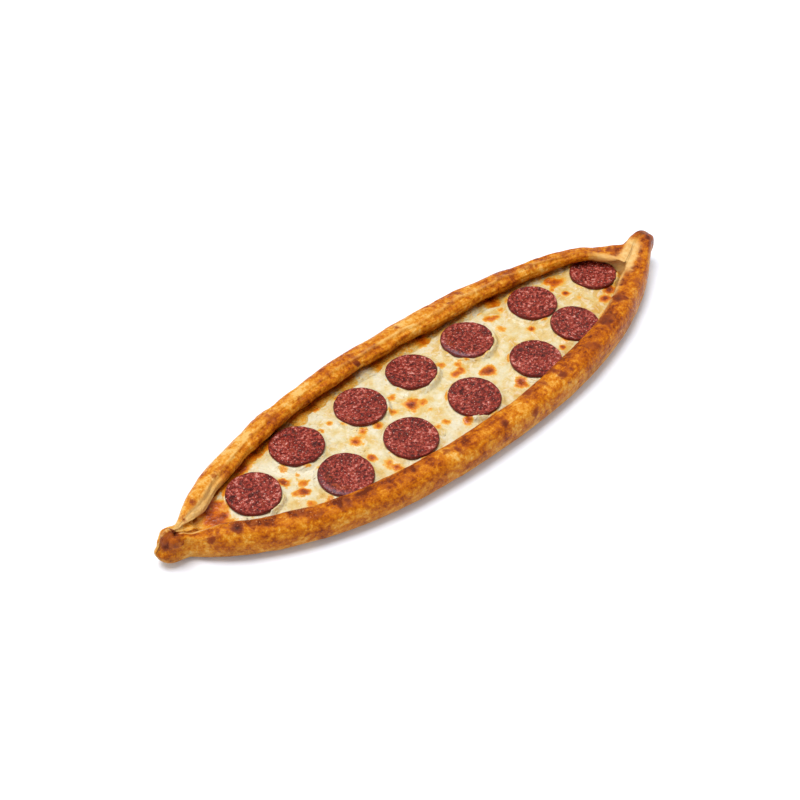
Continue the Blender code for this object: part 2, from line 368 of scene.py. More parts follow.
# Toasted spots on the rim: place along, across and up in mm, how far they spread in mm, how dark they are
crustSpots = (
    (-166, -13, 21, 4.2, 0.95),
    (-167, -7, 21, 2.6, 0.50),
    (-157, -16, 21, 2.5, 0.55),
    (-149, -19, 21, 2.4, 0.45),
    (-142, -25, 21, 2.4, 0.45),
    (-133, -28, 21, 2.8, 0.75),
    (-126, -36, 21, 2.8, 0.35),
    (-108, -39, 21, 3.6, 0.85),
    (-101, -47, 19, 2.4, 0.45),
    (-92, -44, 21, 2.4, 0.40),
    (-73, -49, 21, 2.0, 0.35),
    (-61, -47, 21, 2.6, 0.50),
    (-39, -49, 21, 3.8, 0.60),
    (-33, -55, 20, 3.0, 0.45),
    (2, -56, 20, 4.4, 0.90),
    (-12, -58, 19, 3.0, 0.40),
    (32, -47, 20, 4.6, 0.60),
    (27, -58, 17, 3.2, 0.65),
    (45, -49, 21, 3.8, 0.60),
    (58, -45, 20, 3.8, 0.70),
    (60, -51, 21, 4.6, 0.70),
    (75, -42, 21, 2.6, 0.70),
    (94, -47, 20, 5.4, 0.60),
    (118, -34, 21, 6.0, 0.85),
    (138, -26, 22, 4.0, 0.85),
    (136, -37, 19, 2.8, 0.40),
    (146, -32, 20, 2.8, 0.45),
    (162, -24, 19, 4.2, 0.50),
    (178, -10, 21, 3.6, 0.55),
    (-181, -8, 17, 4.0, 0.70),
    (-184, -5, 18, 2.4, 0.50),
    (-196, 1, 21, 2.6, 0.80),
    (-203, 9, 21, 2.8, 0.75),
    (199, 1, 25, 3.6, 1.00),
    (193, 9, 24, 3.4, 0.45),
    (204, 6, 20, 4.6, 0.40),
    (-26, 52, 21, 3.3, 0.50),
    (-25, 44, 19, 2.0, 0.80),
    (-73, 44, 21, 3.2, 0.45),
    (14, 52, 21, 3.4, 0.55),
    (65, 50, 21, 4.0, 0.50),
    (50, 49, 21, 2.8, 0.45),
    (57, 45, 21, 2.8, 0.50),
    (-97, 43, 21, 3.0, 0.45),
    (-115, 38, 21, 2.6, 0.45),
    (-143, 31, 21, 2.5, 0.45),
    (-152, 28, 21, 2.5, 0.45),
    (-173, 21, 20, 3.0, 0.55),
    (-184, 14, 19, 2.9, 0.50),
    (145, 30, 22, 4.2, 0.40),
    (98, 42, 21, 4.2, 0.45),
    (122, 37, 21, 4.2, 0.45),
    (174, 13, 21, 4.2, 0.60),
)


def spread(points, spots, wobble, ragged):  # how strongly a set of spots marks each point, with uneven edges
    marked = np.zeros(points.shape[:-1])
    for *middle, size, strength in spots:
        offset = points[..., : len(middle)] - np.array(middle) * mm
        distance = np.linalg.norm(offset, axis=-1) / (size * mm)
        near = distance < 3
        fromMiddle = distance[near] + ragged * (0.80 * distance[near] + 0.35) * wobble[near]
        mark = strength * (1 - ease(0.0, 1.75, np.maximum(fromMiddle, 0.0))) ** 1.15
        marked[near] = 1 - (1 - marked[near]) * (1 - mark)
    return marked


def makeCrust(material):
    x = placesAlong(crust["stations"], (bread["leftEnd"] + 0.00006, bread["rightEnd"] - 0.00006))
    halfShares = [5, 5, 5, 5, 5, 5, 5, 5, 5, 6, 5, 6, 5, 3, 3, 2, 2, 4]
    rings, place = smoothRings(sectionRings(x), halfShares + halfShares[::-1])
    corners = len(halfShares)
    # place round half a section: 0 under the bread, 5.5 outermost, 13 at the lip
    half = np.minimum(place, 2 * corners - place)[None, :] + 0 * x[:, None]
    back = (place < corners)[None, :] & np.ones(len(x), bool)[:, None]
    xs = x[:, None] + 0 * half
    normals = gridNormals(rings)
    shown = ease(1.0, 3.0, half) * (1 - ease(13.6, 15.0, half))
    tipFade = endRounding(xs)
    lumpSize, skinSize = crust["lumpSize"], crust["skinSize"]
    lumps = latticeNoise(rings, lumpSize, 11) + 0.5 * latticeNoise(rings, 0.4 * lumpSize, 12)
    stretched = rings * np.array([0.35, 1, 1])
    skin = latticeNoise(stretched, skinSize, 13) + 0.6 * latticeNoise(rings, 0.45 * skinSize, 14)
    wobble = roughNoise(rings, 0.0042, 15)
    spots = spread(rings, crustSpots, wobble, 1.0)
    # the folded-over edge all along the back rim, and finer folds towards the upturned tip
    alongOnly = np.stack([xs, 0 * xs, 0 * xs], -1)
    drift = 0.45 * latticeNoise(alongOnly, 0.030, 16) + 0.25 * latticeNoise(alongOnly, 0.009, 26)
    folded = np.where(back, ease(0.192, 0.180, -xs) * ease(0.165, 0.135, xs), 0.0)
    edgeLine = 10.55 + drift + 0.4 * ease(0.14, 0.17, -xs)
    ridge = folded * bump(half, edgeLine - 0.15, 0.30) * (0.6 + 0.6 * latticeNoise(alongOnly, 0.016, 27))
    hollow = folded * bump(half, edgeLine + 0.55, 0.34)
    fine = np.zeros_like(half)
    for number, (middle, start, end) in enumerate(crust["folds"]):
        shift = 0.40 * latticeNoise(alongOnly + 0.01 * number, 0.024, 17 + number)
        window = ease(start, start + 0.02, xs) * ease(end, end - 0.02, xs)
        fine += np.where(back, bump(half, middle + shift, 0.17) * window, 0)
    slanted = np.stack([0.30 * xs + 0.0011 * half, 0.0030 * half, 0 * xs], -1)
    wrinkles = folded * bump(latticeNoise(slanted, 0.0030, 28), 0, 0.14)
    height = crust["lumpHeight"] * lumps * (1 + 0.6 * folded) + crust["skinHeight"] * skin
    height += crust["blisterHeight"] * spots * (0.6 + 0.4 * wobble) - crust["wrinkleDepth"] * wrinkles
    height += 0.00055 * ridge - crust["creaseDepth"] * hollow - 0.00040 * fine
    # the knob folded over on top of the left tip: two lumps with a crease round them
    fromKnob = np.hypot(*((rings[..., k] - knob["place"][k]) / knob["reach"][k] for k in (0, 1)))
    fromKnob = fromKnob * (1 + 0.06 * wobble)
    high = ease(0.012, 0.017, rings[..., 2]) * ease(-0.180, -0.188, xs)
    onKnob = ease(1.06, 0.94, fromKnob) * high
    coloured = ease(1.22, 0.80, fromKnob + 0.10 * skin) * high
    crease = bump(fromKnob, 1.10, 0.11) * high * ease(0.55, 0.85, endRounding(xs))
    crease = crease * mix(0.35, 1.0, ease(-0.1955, -0.2010, rings[..., 0]))
    lobes = np.zeros_like(fromKnob)
    for lx, ly, size in knob["lumps"]:
        away = np.hypot(rings[..., 0] - lx, rings[..., 1] - ly) / size
        lobes = np.maximum(lobes, np.maximum(0, 1 - away**2))
    tipFade = np.maximum(tipFade, 0.9 * high)
    cleft = onKnob * ease(0.60, 0.20, lobes) * ease(0.92, 0.68, fromKnob)
    onTop = (knob["rise"] * lobes**1.2 + 0.0003 * skin) * onKnob
    height += onTop - knob["cleft"] * cleft - knob["crease"] * crease
    shown = np.maximum(shown, high)
    height = height * shown * tipFade
    # the tallest tip isn't raised, so that it stays in the solid's box
    limit = np.where((rings[..., 2] > 0.0235) & (xs > 0), 0.0, 1.0)
    rings = rings + normals * (height * limit)[..., None]
    wave = 0.7 * latticeNoise(alongOnly, 0.013, 29) + 0.5 * latticeNoise(alongOnly, 0.0055, 30)
    wave = wave * folded * ease(-0.170, -0.110, xs) * ease(10.9, 12.4, half) * ease(15.8, 14.4, half)
    overhang = np.where(back, 0.0, bump(xs, 0.075, 0.050)) * ease(8.0, 11.0, half) * ease(14.6, 13.6, half)
    rings[..., 1] += crust["lipWave"] * wave + crust["overhang"] * overhang
    rings = np.clip(rings, np.array(cadBox[0]) + 0.00005, np.array(cadBox[1]) - 0.00005)
    rings[..., 2] = np.where(rings[..., 2] < 0.0001, 0.0, rings[..., 2])
    # how the bake coloured it, with some painted light and shade laid in
    frontMix, backMix = np.where(back, 0.0, 1.0), np.where(back, 1.0, 0.0)
    boundary = 4.9 + 0.9 * ease(-0.10, 0.10, xs) + 0.7 * lumps
    glazed = ease(boundary - 0.8, boundary + 0.9, half + 0.5 * wobble)
    glazed = glazed * (1 - 0.75 * ease(11.9, 13.2, half + 0.3 * wobble) * frontMix)
    inner = backMix * ease(edgeLine - 0.25, edgeLine + 0.35, half + 0.15 * wobble)
    leftInner = mix(0.50, 0.12, ease(0.140, 0.172, -xs))
    outerBand = 0.30 + 0.08 * bump(xs, 0.0, 0.05) + 0.27 * ease(0.02, 0.12, xs)
    toastAndPaintedLight = 0.52 * frontMix + backMix * mix(outerBand, leftInner - 0.05 * ease(-0.09, -0.02, xs), inner)
    # the upper front face near the left end is painted lighter as a highlight; the front near the right end is a
    # little less toasted
    toastAndPaintedLight -= frontMix * (0.16 * ease(0.155, 0.175, -xs) * ease(7.5, 9.0, half) + 0.09 * ease(0.13, 0.16, xs))
    toastAndPaintedLight += 0.10 * frontMix * ease(8.8, 10.2, half) + 0.08 * frontMix * ease(0.02, 0.14, xs)
    toastAndPaintedLight += 0.13 * lumps + 0.07 * skin + 0.15 * latticeNoise(rings, 0.008, 25) + 0.09 * wrinkles
    crestDark = frontMix * bump(half, 10.4 + drift, 1.1) * ease(-0.4, 0.4, latticeNoise(rings, 0.0075, 24))
    # the fold's ridge is painted lighter: partly pale stretched dough, partly a painted highlight along the edge
    toastAndPaintedLight += 0.34 * crestDark * ease(-0.03, -0.09, xs) + 0.10 * fine - 0.13 * ridge
    thumb = ease(0.187, 0.194, xs) * ease(0.0180, 0.0225, rings[..., 2])
    toastAndPaintedLight += 0.17 * thumb + 0.24 * coloured - 0.12 * ease(0.176, 0.184, -xs) * (1 - onKnob) * backMix
    nearSeam = np.abs(rings[..., 1] - centreLine(xs) + frontEdge(xs))
    cream = ease(0.160, 0.172, xs) * ease(0.196, 0.187, xs) * ease(0.0085, 0.0030, nearSeam + 0.0025 * wobble)
    backCream = 0.8 * backMix * ease(0.157, 0.168, xs) * ease(0.190, 0.181, xs) * ease(10.0, 11.6, half)
    cream = np.maximum(cream, backCream)
    cream = np.maximum(cream, ease(0.140, 0.170, -xs) * inner * 0.85)
    nearEnds = np.maximum(ease(0.165, 0.176, -xs), ease(0.110, 0.150, xs))
    # a pale line along the front lip near the ends: paler dough, and partly a painted highlight where the sharp edge
    # catches the light
    paleEdgeAndHighlight = frontMix * bump(half, 12.0, 0.55) * nearEnds
    # darker dough low on the inner wall in the left corner: browned by cheese fat, and partly painted shade in the
    # recess
    pocket = ease(14.2, 15.2, half) * ease(0.152, 0.164, -xs)
    toastAndPaintedLight += 0.45 * pocket - 0.30 * cream
    # the ridge's paleness here is partly pale dough, partly a painted highlight along the fold's edge
    pale = np.clip(np.maximum(np.maximum(cream, paleEdgeAndHighlight), 0.35 * ridge), 0, 1)
    pale = pale * (1 - coloured) * (1 - 0.85 * thumb) * (1 - pocket)
    specks = (0.6 * backMix * (1 - inner) + 0.45 * frontMix * ease(0.0, -0.1, xs)) * ease(6.0, 7.5, half)
    # the knob's own browning, with its cleft painted darker as shade and the tops of its two lumps painted lighter as
    # highlight
    knobDark = 0.40 + 0.20 * ease(0.004, 0.009, rings[..., 1]) + 0.45 * cleft - 0.28 * lobes
    knobDark = knobDark + 0.25 * skin + 0.5 * wobble
    spots = np.maximum(spots, knobDark * coloured)
    crumbs = frontMix * bump(half, 10.9, 0.9) * ease(0.100, 0.125, -xs) * (1 - ease(0.170, 0.182, -xs))
    crumbs = crumbs * ease(-0.1, 0.6, wobble + 0.8 * spots)
    values = {"glazed": glazed, "toastAndPaintedLight": np.clip(toastAndPaintedLight, 0, 1), "spots": spots, "pale": pale, "specks": specks}
    values["crumbs"] = crumbs
    flow = np.stack([xs, half * 0.0028 + np.where(back, 0.1, 0.0), 0 * xs], -1)
    poles = [rings[0].mean(0), rings[-1].mean(0)]
    poles[0][0], poles[1][0] = cadBox[0][0] + 0.00005, cadBox[1][0] - 0.00005
    points = np.concatenate([rings.reshape(-1, 3), poles])
    attributes = {}
    for label, value in values.items():
        attributes[label] = np.concatenate([value.reshape(-1), [value[0].mean(), value[-1].mean()]])
    attributes["flow"] = np.concatenate([flow.reshape(-1, 3), flow[0, :1], flow[-1, :1]])
    piece = meshPiece("bakedCrust", points, loftFaces(len(x), rings.shape[1]), attributes, material)
    print("crust made:", len(piece.data.polygons), "faces")
    return piece


# Sausage slices: place along, place across and radius in mm, extra tilt in degrees
sliceList = (
    (-139.0, 8.0, 16.8, 1.0),
    (-95.8, 20.6, 17.2, -1.5),
    (-89.8, -17.0, 17.2, 0.5),
    (-45.3, 20.4, 16.8, 0.0),
    (-41.0, -20.6, 17.2, 1.0),
    (-0.8, 22.1, 16.6, -1.0),
    (11.8, -21.2, 17.0, 0.5),
    (46.0, 19.7, 17.5, -0.5),
    (65.0, -22.7, 17.0, 1.0),
    (103.0, 16.5, 16.8, 0.0),
    (108.2, -16.6, 16.2, 0.5),
    (155.0, 10.0, 15.9, 0.0),
)
sausage = {"thickness": 0.0030, "edgeRounding": 0.0008, "rings": 34, "around": 156}
cheese = {
    "stations": 520,
    "across": 128,
    "level": 0.0092,
    "crown": 0.0008,
    "swellHeight": 0.00045,
    "swellSize": 0.011,
    "grainHeight": 0.00010,
    "grainSize": 0.0036,
    "blisterHeight": 0.00060,
    "collar": 0.0018,  # how far the melt climbs the side of a slice
}
# Toasted spots on the cheese, those along the back wall partly painted shade under the lip: place along and across,
# spread in mm, darkness
cheeseSpots = (
    (-119, 5, 3.6, 0.90),
    (-111, -3, 3.5, 0.60),
    (-115, -9, 3.3, 0.90),
    (-66, 1, 3.9, 0.75),
    (-68, -15, 3.5, 0.80),
    (-19, 2, 4.8, 0.95),
    (-12, -1, 3.0, 0.55),
    (27, 9, 2.7, 0.60),
    (25, 4, 3.4, 0.72),
    (19, 3, 3.0, 0.65),
    (38, -9, 4.4, 0.85),
    (33, -7, 3.0, 0.60),
    (19, 16, 3.3, 0.50),
    (-21, -23, 2.5, 0.50),
    (-14, -23, 2.5, 0.55),
    (73, 27, 3.4, 0.62),
    (78, 25, 2.6, 0.50),
    (71, 37, 2.6, 0.60),
    (72, 14, 3.6, 0.42),
    (86, 1, 3.4, 0.80),
    (133, 22, 4.4, 0.78),
    (128, 26, 3.6, 0.62),
    (128, 10, 2.8, 0.85),
    (125, 19, 2.8, 0.50),
    (24, 39, 3.3, 0.45),
    (26, 45, 4.0, 0.90),
    (86, 41, 5.0, 0.95),
    # these spots by the back wall are partly toasted cheese, partly painted shade under the lip
    (-65, 42, 3.6, 0.95),
    (-42, 44, 3.0, 0.70),
    (-117, 36, 4.8, 1.00),
    (-130, 32, 5.2, 1.00),
    (-100, 42, 5.2, 1.00),
    (-11, 47, 2.6, 0.45),
    (-67, 24, 2.5, 0.50),
    (-75, 22, 2.2, 0.50),
    (-47, 2, 3.0, 0.72),
    (-57, 5, 3.4, 0.60),
    (-32, 5, 2.9, 0.60),
    (-24, 15, 3.0, 0.55),
    (-62, -31, 3.4, 0.75),
    (-63, -25, 3.6, 0.55),
    (-4, -31, 3.4, 0.75),
    (45, -30, 4.2, 0.85),
    (88, -25, 2.3, 0.85),
    (94, -22, 2.3, 0.65),
    (153, -7, 4.2, 0.95),
    (144, -11, 4.0, 0.95),
    (155, 1, 2.8, 0.50),
    (-161, 8, 3.0, 0.75),
    # these spots by the back wall at the left are partly toasted cheese, partly painted shade under the lip
    (-169, 21, 4.2, 0.85),
    (-161, 26, 4.6, 0.80),
    (-153, 30, 4.4, 0.80),
    (-146, 34, 4.4, 0.85),
    (-138, 36, 3.6, 0.70),
    (-158, 17, 3.0, 0.55),
    (-156, 12, 2.6, 0.42),
    (-120, -7, 2.6, 0.50),
    (-108, -24, 3.0, 0.45),
    (-118, -19, 2.8, 0.55),
    (-14, -9, 2.2, 0.30),
    (132, 1, 2.0, 0.35),
    (-97, -2, 2.5, 0.35),
    (-109, 4, 1.7, 0.45),
    (40, 7, 2.7, 0.35),
    (110, 11, 2.4, 0.35),
    (85, 28, 3.1, 0.40),
    (-113, 13, 2.8, 0.45),
    (54, -17, 2.6, 0.40),
)
# Melt lying over a slice's edge: slice, middle of the arc and its half width in degrees, reach inwards in mm
cheeseLaps = (
    (7, -20, 34, 1.7),
    (7, -75, 26, 1.0),
    (5, -62, 34, 1.0),
    (3, -38, 26, 1.1),
    (2, -100, 26, 0.9),
    (6, -128, 24, 0.9),
    (8, -95, 20, 0.7),
    (11, -60, 24, 1.0),
    (0, -70, 30, 0.6),
)


def cheeseBase(x, y):
    across = (y - centreLine(x)) / bread["halfWidth"]
    ripple = 0.00025 * np.sin(x * 61 + 0.8) * np.cos(y * 70)
    return cheese["level"] + cheese["crown"] * (0.5 - 2.2 * across**2) + ripple


def restingPlane(x, y, radius, tilt):  # height and slopes of a slice's underside
    reach = 0.7 * radius
    slopeX = (cheeseBase(x + reach, y) - cheeseBase(x - reach, y)) / (2 * reach)
    slopeY = (cheeseBase(x, y + reach) - cheeseBase(x, y - reach)) / (2 * reach) + radians(tilt)
    turn, out = np.meshgrid(np.linspace(0, 2 * pi, 24, endpoint=False), radius * np.arange(1, 7) / 6)
    dx, dy = out * np.cos(turn), out * np.sin(turn)
    height = np.max(cheeseBase(x + dx, y + dy) - slopeX * dx - slopeY * dy) + 0.0003
    return float(height), float(slopeX), float(slopeY)


def turnedFrom(turn, degrees):  # how far each place round a slice is from a side, in radians
    return np.angle(np.exp(1j * (turn - radians(degrees))))


def makeCheese(material):
    x = np.linspace(-0.1828, 0.1690, cheese["stations"])
    middle = centreLine(x) - seamShift(x)
    back = openingHalf(x, 1) + 0.0058 * openness(x) - 0.0010
    front = openingHalf(x, -1) + 0.0042 * openness(x) - 0.0010
    back += 0.0036 * bump(x, 0.160, 0.014)
    share = np.linspace(1, -1, cheese["across"])
    share = 0.85 * share + 0.15 * share**3
    xs = x[:, None] + 0 * share[None, :]
    ys = middle[:, None] + np.where(share > 0, share * back[:, None], share * front[:, None])
    place = np.stack([xs, ys, 0 * xs], -1)
    wobble = roughNoise(place, 0.0035, 31)
    height = cheeseBase(xs, ys)
    floor = (troughFloor(x) + 0.0003)[:, None]
    swellSize, grainSize = cheese["swellSize"], cheese["grainSize"]
    swell = latticeNoise(place, swellSize, 32) + 0.5 * latticeNoise(place, 0.5 * swellSize, 33)
    grain = latticeNoise(place, grainSize, 34) + 0.7 * latticeNoise(place, 0.45 * grainSize, 35)
    height = height + cheese["swellHeight"] * swell + cheese["grainHeight"] * grain
    frontWall, backWall = ys - (middle - front)[:, None], (middle + back)[:, None] - ys
    toWall = np.minimum(frontWall, backWall)
    wobble = wobble * ease(0.0, 0.0020, toWall)
    height += 0.0012 * np.exp(-np.maximum(toWall, 0) / 0.0030) * (0.9 + 0.4 * swell)
    height += 0.0022 * np.exp(-np.maximum(backWall, 0) / 0.0030)
    spots = spread(place, cheeseSpots, wobble, 0.45)
    height += cheese["blisterHeight"] * (spots - 0.7 * np.maximum(spots - 0.72, 0) / 0.28)
    toastAndPaintedLight = spots.copy()
    crumbly = 0 * spots
    for index, (sx, sy, radius, tilt) in enumerate(sliceList):
        sx, sy, radius = sx * mm, sy * mm, radius * mm
        low, slopeX, slopeY = restingPlane(sx, sy, radius, tilt)
        dx, dy = xs - sx, ys - sy
        out = np.hypot(dx, dy) - radius
        plane = low + slopeX * dx + slopeY * dy
        turn = np.arctan2(dy, dx)
        circle = np.stack([3 * np.cos(turn), 3 * np.sin(turn), 0 * turn + 9 * index], -1)
        ragged = latticeNoise(circle, 1.0, 41)
        climb = cheese["collar"] * np.clip(0.74 + 0.6 * ragged + 0.25 * np.sin(turn - 0.75), 0.35, 1.15)
        collar = mix(height, np.maximum(height, plane + climb), np.exp(-((np.maximum(out, 0) / 0.0021) ** 2)))
        beside = np.where(out < 0.006, collar, height)
        height = np.where(out < -0.0017, np.minimum(height, plane - 0.0002), beside)
        arc = bump(out, 0.0005, 0.0010) * ease(0.0, 0.9, ragged + 0.25 * np.sin(turn - 0.75) + 0.4 * wobble)
        toastAndPaintedLight = np.maximum(toastAndPaintedLight, 0.50 * arc)
        crumbs = bump(out, 0.0010, 0.0010) * ease(-0.5, 0.6, ragged + 0.9 * np.sin(turn - 2.2))
        crumbly = np.maximum(crumbly, crumbs)
        for number, arcMiddle, arcHalf, reach in cheeseLaps:
            if number == index:
                away = np.abs(turnedFrom(turn, arcMiddle)) / radians(arcHalf)
                inwards = reach * mm * (1 - ease(0.5, 1.0, away)) * (0.75 + 0.9 * wobble)
                over = ease(0, 0.0009, out + inwards) * ease(0.0030, 0.0004, out)
                top = plane + sausage["thickness"] + 0.00055 * (1 + 0.6 * wobble)
                lapped = (out > -0.004) & (inwards > 0.0001)
                height = np.where(lapped, np.maximum(height, mix(height, top, over)), height)
    height = np.where(np.abs(xs + 0.004) < 0.168, np.maximum(height, floor + 0.0004), height)
    height = np.minimum(height, 0.0190)
    # darker melt along the walls: browned cheese, and along the back wall partly painted shade under the overhanging
    # lip
    nearBack = np.exp(-np.maximum(backWall - 0.0056, 0) / 0.0028)
    nearFront = np.exp(-np.maximum(frontWall - 0.0060, 0) / 0.0022)
    wallToastAndShade = 0.46 * nearBack * ease(-0.8, 0.5, latticeNoise(place, 0.009, 36))
    wallToastAndShade *= mix(1.0, 0.55, ease(-0.05, 0.08, xs))
    wallToastAndShade += 0.40 * nearFront * ease(-0.1, 0.9, latticeNoise(place, 0.010, 37))
    # the left corner of the melt is darker: toasted cheese, and partly painted shade in the deep corner
    corner = 0.75 * ease(0.152, 0.168, -xs) * ease(-1.6, 0.3, swell + 0.4 * wobble)
    toastAndPaintedLight = np.clip(1 - (1 - toastAndPaintedLight) * (1 - wallToastAndShade) * (1 - corner), 0, 1)
    yellow = 0.5 + ease(0.02, 0.13, xs) + 0.8 * latticeNoise(place, 0.022, 39) - 0.5 * bump(xs, -0.112, 0.04)
    shredded = np.clip(0.10 + 1.1 * bump(xs, -0.112, 0.045) + 0.3 * latticeNoise(place, 0.02, 38), 0, 1)
    clear = ease(-0.160, -0.150, xs) * ease(0.160, 0.150, xs) * ease(0.0070, 0.0100, toWall)
    shredded *= clear * ease(0.4, 0.15, toastAndPaintedLight)
    crumbly *= ease(0.0060, 0.0090, toWall)
    tops = np.stack([xs, ys, height], -1)
    low = np.minimum(floor[:, 0], height.min(axis=1) - 0.0010)
    bottom = np.stack([[x, middle - 0.5 * front, low], [x, middle + 0.5 * back, low]]).transpose(2, 0, 1)
    rings = np.concatenate([bottom, tops], axis=1)
    points = np.concatenate([rings.reshape(-1, 3), [rings[0].mean(0), rings[-1].mean(0)]])
    attributes = {}
    for label, value in {"toastAndPaintedLight": toastAndPaintedLight, "shredded": shredded, "yellow": yellow, "crumbly": crumbly}.items():
        ringed = np.concatenate([np.zeros((len(x), 2)), value], axis=1)
        attributes[label] = np.concatenate([ringed.reshape(-1), [0, 0]])
    piece = meshPiece("meltedCheese", points, loftFaces(len(x), rings.shape[1]), attributes, material)
    print("cheese made:", len(piece.data.polygons), "faces")
    return piece


sliceSkins = []


def makeSlice(index, material):
    sx, sy, radius, tilt = sliceList[index]
    sx, sy, radius = sx * mm, sy * mm, radius * mm
    low, slopeX, slopeY = restingPlane(sx, sy, radius, tilt)
    thick, soft = sausage["thickness"], sausage["edgeRounding"]
    profile = [(share, 0.0) for share in (0.45, 0.9)]  # underside, then the side, then the cut face
    profile += [(1 - 0.0006 * (1 - t) / radius, mix(0.0002, thick - soft, t)) for t in (0, 0.35, 0.7, 1)]
    for step in range(1, 6):
        turn = pi / 2 * step / 5
        profile.append((1 - soft / radius * (1 - np.cos(turn)), thick - soft + soft * np.sin(turn)))
    profile += [(share, thick) for share in np.linspace(1 - soft / radius, 0.02, sausage["rings"])[1:]]
    profile = np.array(profile)
    turn = np.linspace(0, 2 * pi, sausage["around"], endpoint=False)[None, :]
    seed = 100 + 7 * index
    circle = np.stack([np.cos(turn), np.sin(turn), 0 * turn], -1)
    uneven = 1 - 0.010 * (1 + latticeNoise(1.6 * circle + index, 1.0, seed))
    uneven = uneven - 0.004 * (1 + latticeNoise(5 * circle, 1.0, seed))
    out = profile[:, :1] * uneven * radius
    xs, ys = sx + out * np.cos(turn), sy + out * np.sin(turn)
    heights = profile[:, 1:] + 0 * turn
    place = np.stack([xs, ys, heights], -1)
    face = ease(0.0019, 0.0026, heights)
    edge = profile[:, :1] + 0 * turn
    cup = 0.00035 * ease(0.55, 1.0, edge) - 0.00025 * (1 - edge**2)
    relief = 0.00022 * latticeNoise(place, 0.0024, seed + 1) + 0.00013 * latticeNoise(place, 0.0011, seed + 2)
    relief += 0.00025 * bump(edge, 0.972, 0.012) - 0.00020 * bump(edge, 0.940, 0.014)
    slow = 0.00030 * latticeNoise(place, 0.011, seed + 3)
    zs = low + slopeX * (xs - sx) + slopeY * (ys - sy) + heights + face * (cup + relief + slow)
    rings = np.stack([xs, ys, zs], -1)
    casing = ease(0.948, 0.975, edge + 0.008 * latticeNoise(place, 0.004, seed + 5))
    rows, columns = rings.shape[:2]
    poles = [rings[0].mean(0), rings[-1].mean(0)]
    points = np.concatenate([rings.reshape(-1, 3), poles])
    crispAndSheen = np.zeros_like(xs)
    browned = np.zeros_like(xs)
    wobble = roughNoise(place, 0.004, seed + 4)
    if index in (2, 7):  # the near edge of these two: a grey band, partly dried crisp and partly painted sheen
        crispAndSheen = ease(0.70, 0.95, edge + 0.06 * wobble) * bump(turnedFrom(turn, 200), 0, 0.75)
        inner = bump(edge, 0.62, 0.16) * bump(turnedFrom(turn, 190), 0, 0.8)
        browned = np.maximum(browned, 0.8 * inner * ease(-0.3, 0.5, wobble))
    if index in (3, 7):
        side = bump(turnedFrom(turn, 150), 0, 0.8) * ease(0.5, 0.9, edge)
        browned = np.maximum(browned, 0.7 * side * ease(-0.4, 0.4, wobble))
    values = {"casing": casing, "crispAndSheen": crispAndSheen, "browned": browned, "face": face}
    attributes = {label: np.concatenate([v.reshape(-1), [v[0, 0], v[-1, 0]]]) for label, v in values.items()}
    faces = [tuple(reversed(f)) for f in loftFaces(rows, columns)]
    piece = meshPiece(f"sausageSlice{index + 1:02d}", points, faces, attributes, material)
    sliceSkins.append((points, faces, attributes["face"] * (1 - ease(0.96, 1.0, attributes["casing"]))))
    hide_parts(f"sausage_{index + 1:02d}")
    return piece


def newMaterial(name):
    material = bpy.data.materials.new(name)
    material.use_nodes = True
    tree = material.node_tree
    tree.nodes.clear()
    return material, tree


def mottling(tree, place, sizes):  # noise in layers: width of the lumps in mm, detail and roughness of each
    layers = []
    for lumpWidth, detail, roughness in sizes:
        inputs = {"Vector": place, "Scale": 1000 / lumpWidth, "Detail": detail, "Roughness": roughness}
        layers.append(add(tree, "ShaderNodeTexNoise", inputs, "Fac"))
    return layers


def pushed(tree, level, patterns):  # raises and lowers a level by patterns, each about its middle of 0.5
    for pattern, strength in patterns:
        centred = add(tree, "ShaderNodeMath", {0: pattern, 1: 0.5}, 0, operation="SUBTRACT")
        level = add(tree, "ShaderNodeMath", {0: centred, 1: strength, 2: level}, 0, operation="MULTIPLY_ADD")
    return level


def laidOver(tree, under, over, strength, *masks):  # one colour over another where every mask lets it show
    for mask, hidden, full in masks:
        limits = {"Value": mask, "From Min": hidden, "From Max": full}
        shown = add(tree, "ShaderNodeMapRange", limits, "Result", interpolation_type="SMOOTHSTEP")
        strength = add(tree, "ShaderNodeMath", {0: shown, 1: strength}, 0, operation="MULTIPLY")
    return add(tree, "ShaderNodeMix", {0: strength, 6: under, 7: over}, 2, data_type="RGBA")


def flecks(tree, place, spacing, channel):  # flecks so many mm apart: distance from one's middle, and its number
    cells = add(tree, "ShaderNodeTexVoronoi", {"Vector": place, "Scale": 1000 / spacing, "Randomness": 1.0})
    number = add(tree, "ShaderNodeSeparateColor", {"Color": cells.outputs["Color"]}, channel)
    return cells.outputs["Distance"], number


def closeMaterial(material, values):  # the shader that ends every material
    tree = material.node_tree
    shader = add(tree, "ShaderNodeBsdfPrincipled", values, 0)
    add(tree, "ShaderNodeOutputMaterial", {"Surface": shader})
    return material


doughLook = {
    "egg": (  # from barely baked to nearly burnt, as in the other sets
        (0.00, "#E4B464"),
        (0.20, "#DC9834"),
        (0.38, "#CE7C0E"),
        (0.56, "#BA6202"),
        (0.78, "#964202"),
        (1.00, "#642404"),
    ),
    "bare": ((0.05, "#DCA858"), (0.40, "#CC8A32"), (0.70, "#B0681A"), (1.0, "#84430E")),
    "cream": ((0.3, "#D79C50"), (0.55, "#E4B974"), (0.75, "#EBCB90")),
    "burnt": ((0.25, "#B5611A"), (0.55, "#8E3F12"), (0.85, "#692A0E"), (1.0, "#43190A")),
    "speck": "#A4501E",
    "speckStrength": 0.60,
    "speckSpacing": 3.0,  # mm
    "patches": ((9, 3, 0.55), (2.8, 4, 0.65), (1.0, 3, 0.65)),  # cloudy, mottled and fine
    "streaks": (75, 560, 1),  # how many in a metre along, round and through the skin
    "roughness": (0.52, -0.28),  # bare dough, and what the egg takes off it
    "relief": 0.0008,
    "gloss": 0.13,
}


